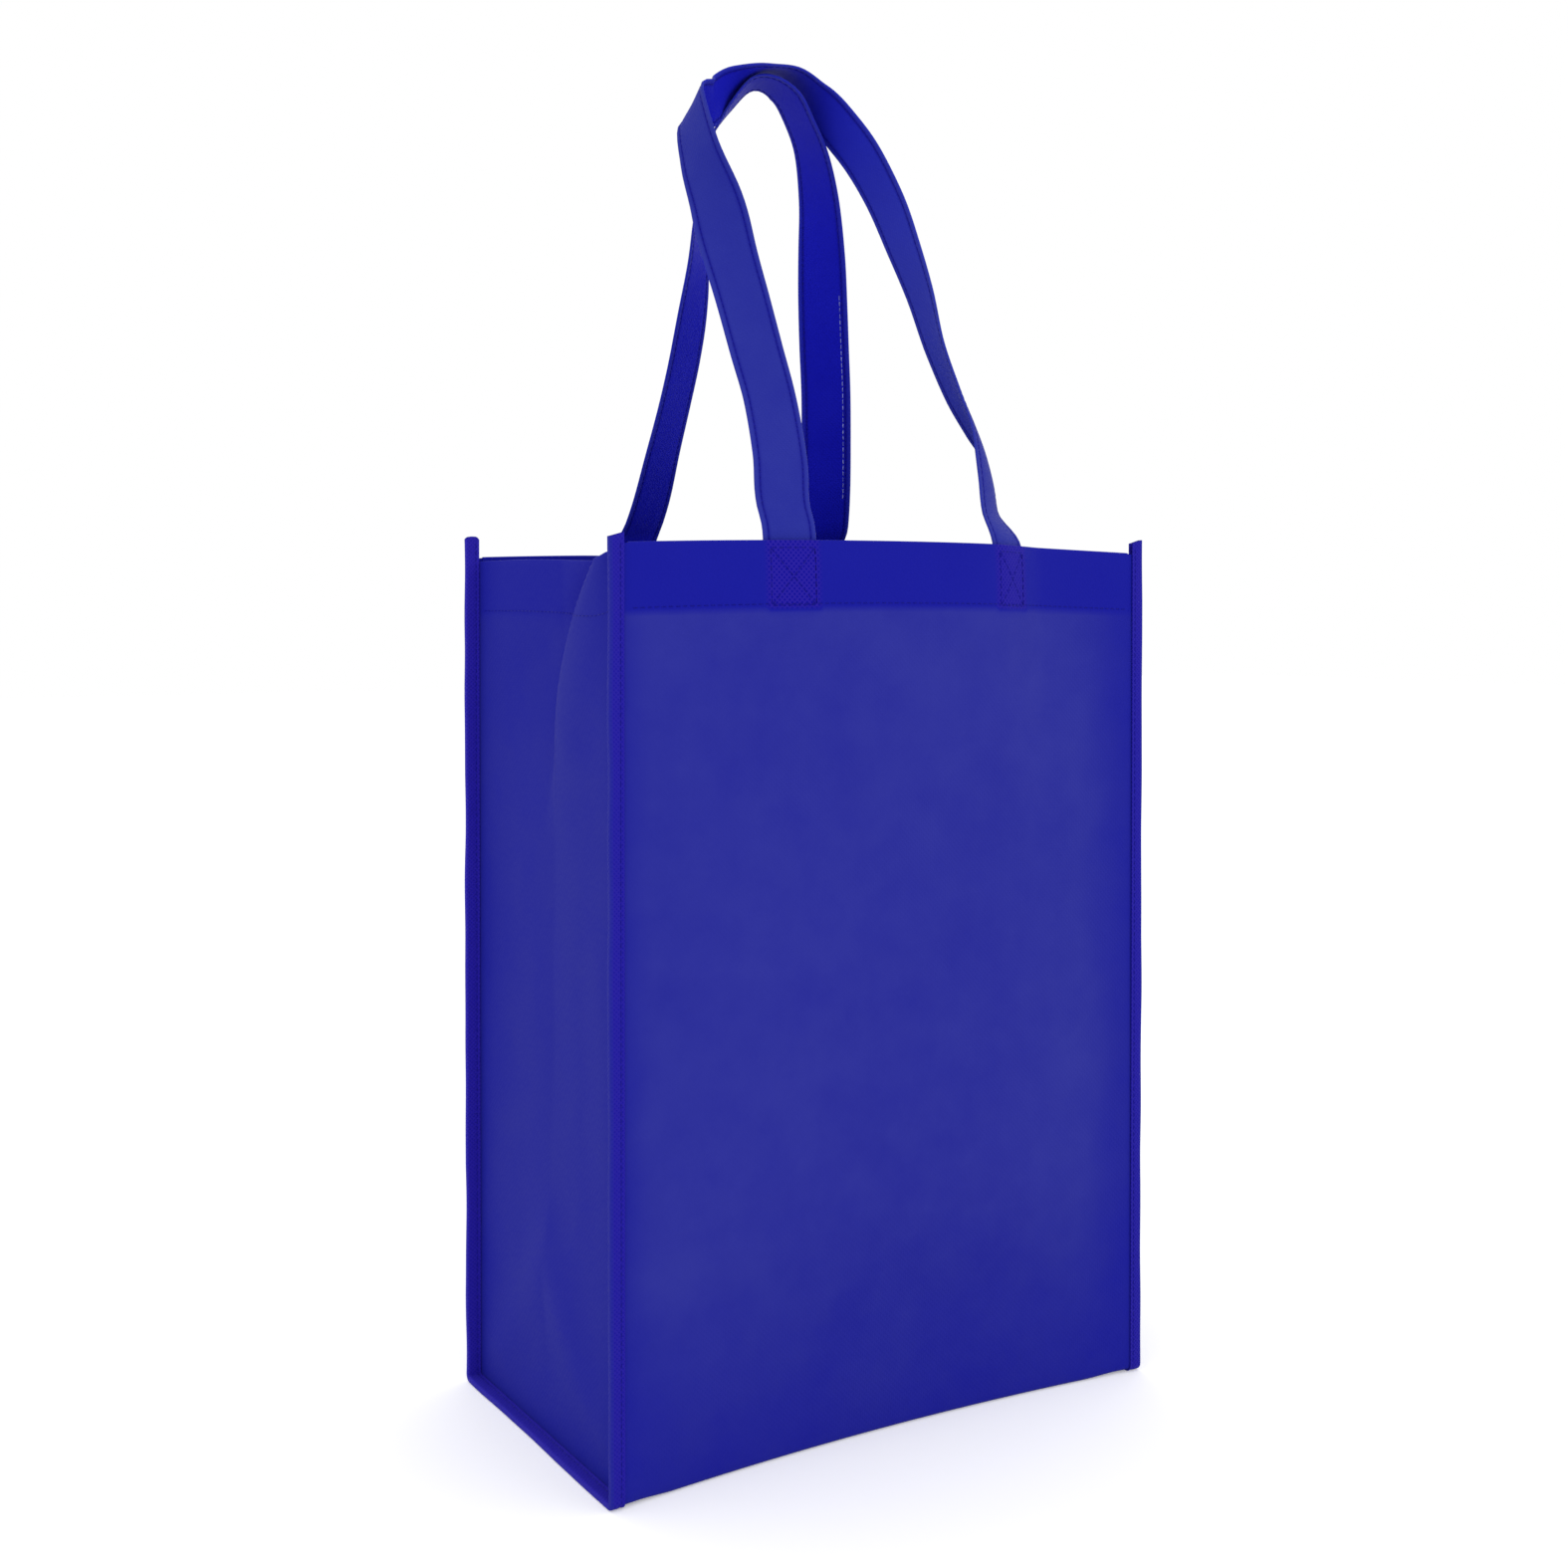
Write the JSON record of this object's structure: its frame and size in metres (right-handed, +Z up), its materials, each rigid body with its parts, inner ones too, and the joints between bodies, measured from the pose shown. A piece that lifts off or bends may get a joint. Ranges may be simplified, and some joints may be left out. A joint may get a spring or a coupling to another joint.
{
  "type": "non-woven carrier bag",
  "caption": "Open-topped non-woven fabric carrier bag with gusseted sides, taped outward seams and strap handles sewn inside the top hems.",
  "frame": {"origin": "middle of the base on the floor that it stands on", "axes": "+Z up, front panel towards -Y, +X to the right of someone who looks at the front"},
  "size_m": [0.2736, 0.174, 0.5997],
  "materials": {
    "panel_cloth": "matt non-woven polypropylene, dyed royal blue",
    "left_gusset_cloth": "matt non-woven polypropylene, dyed royal blue",
    "right_gusset_cloth": "matt non-woven polypropylene, dyed royal blue",
    "left_binding_tape": "folded non-woven tape, dyed royal blue",
    "right_binding_tape": "folded non-woven tape, dyed royal blue",
    "front_handle_strap": "folded and stitched non-woven strap, dyed royal blue",
    "back_handle_strap": "folded and stitched non-woven strap, dyed royal blue"
  },
  "bodies": {
    "root": {"main_panel": "panel_cloth", "left_gusset": "left_gusset_cloth", "right_gusset": "right_gusset_cloth", "left_binding": "left_binding_tape", "right_binding": "right_binding_tape", "front_handle": "front_handle_strap", "back_handle": "back_handle_strap"}
  },
  "joints": []
}
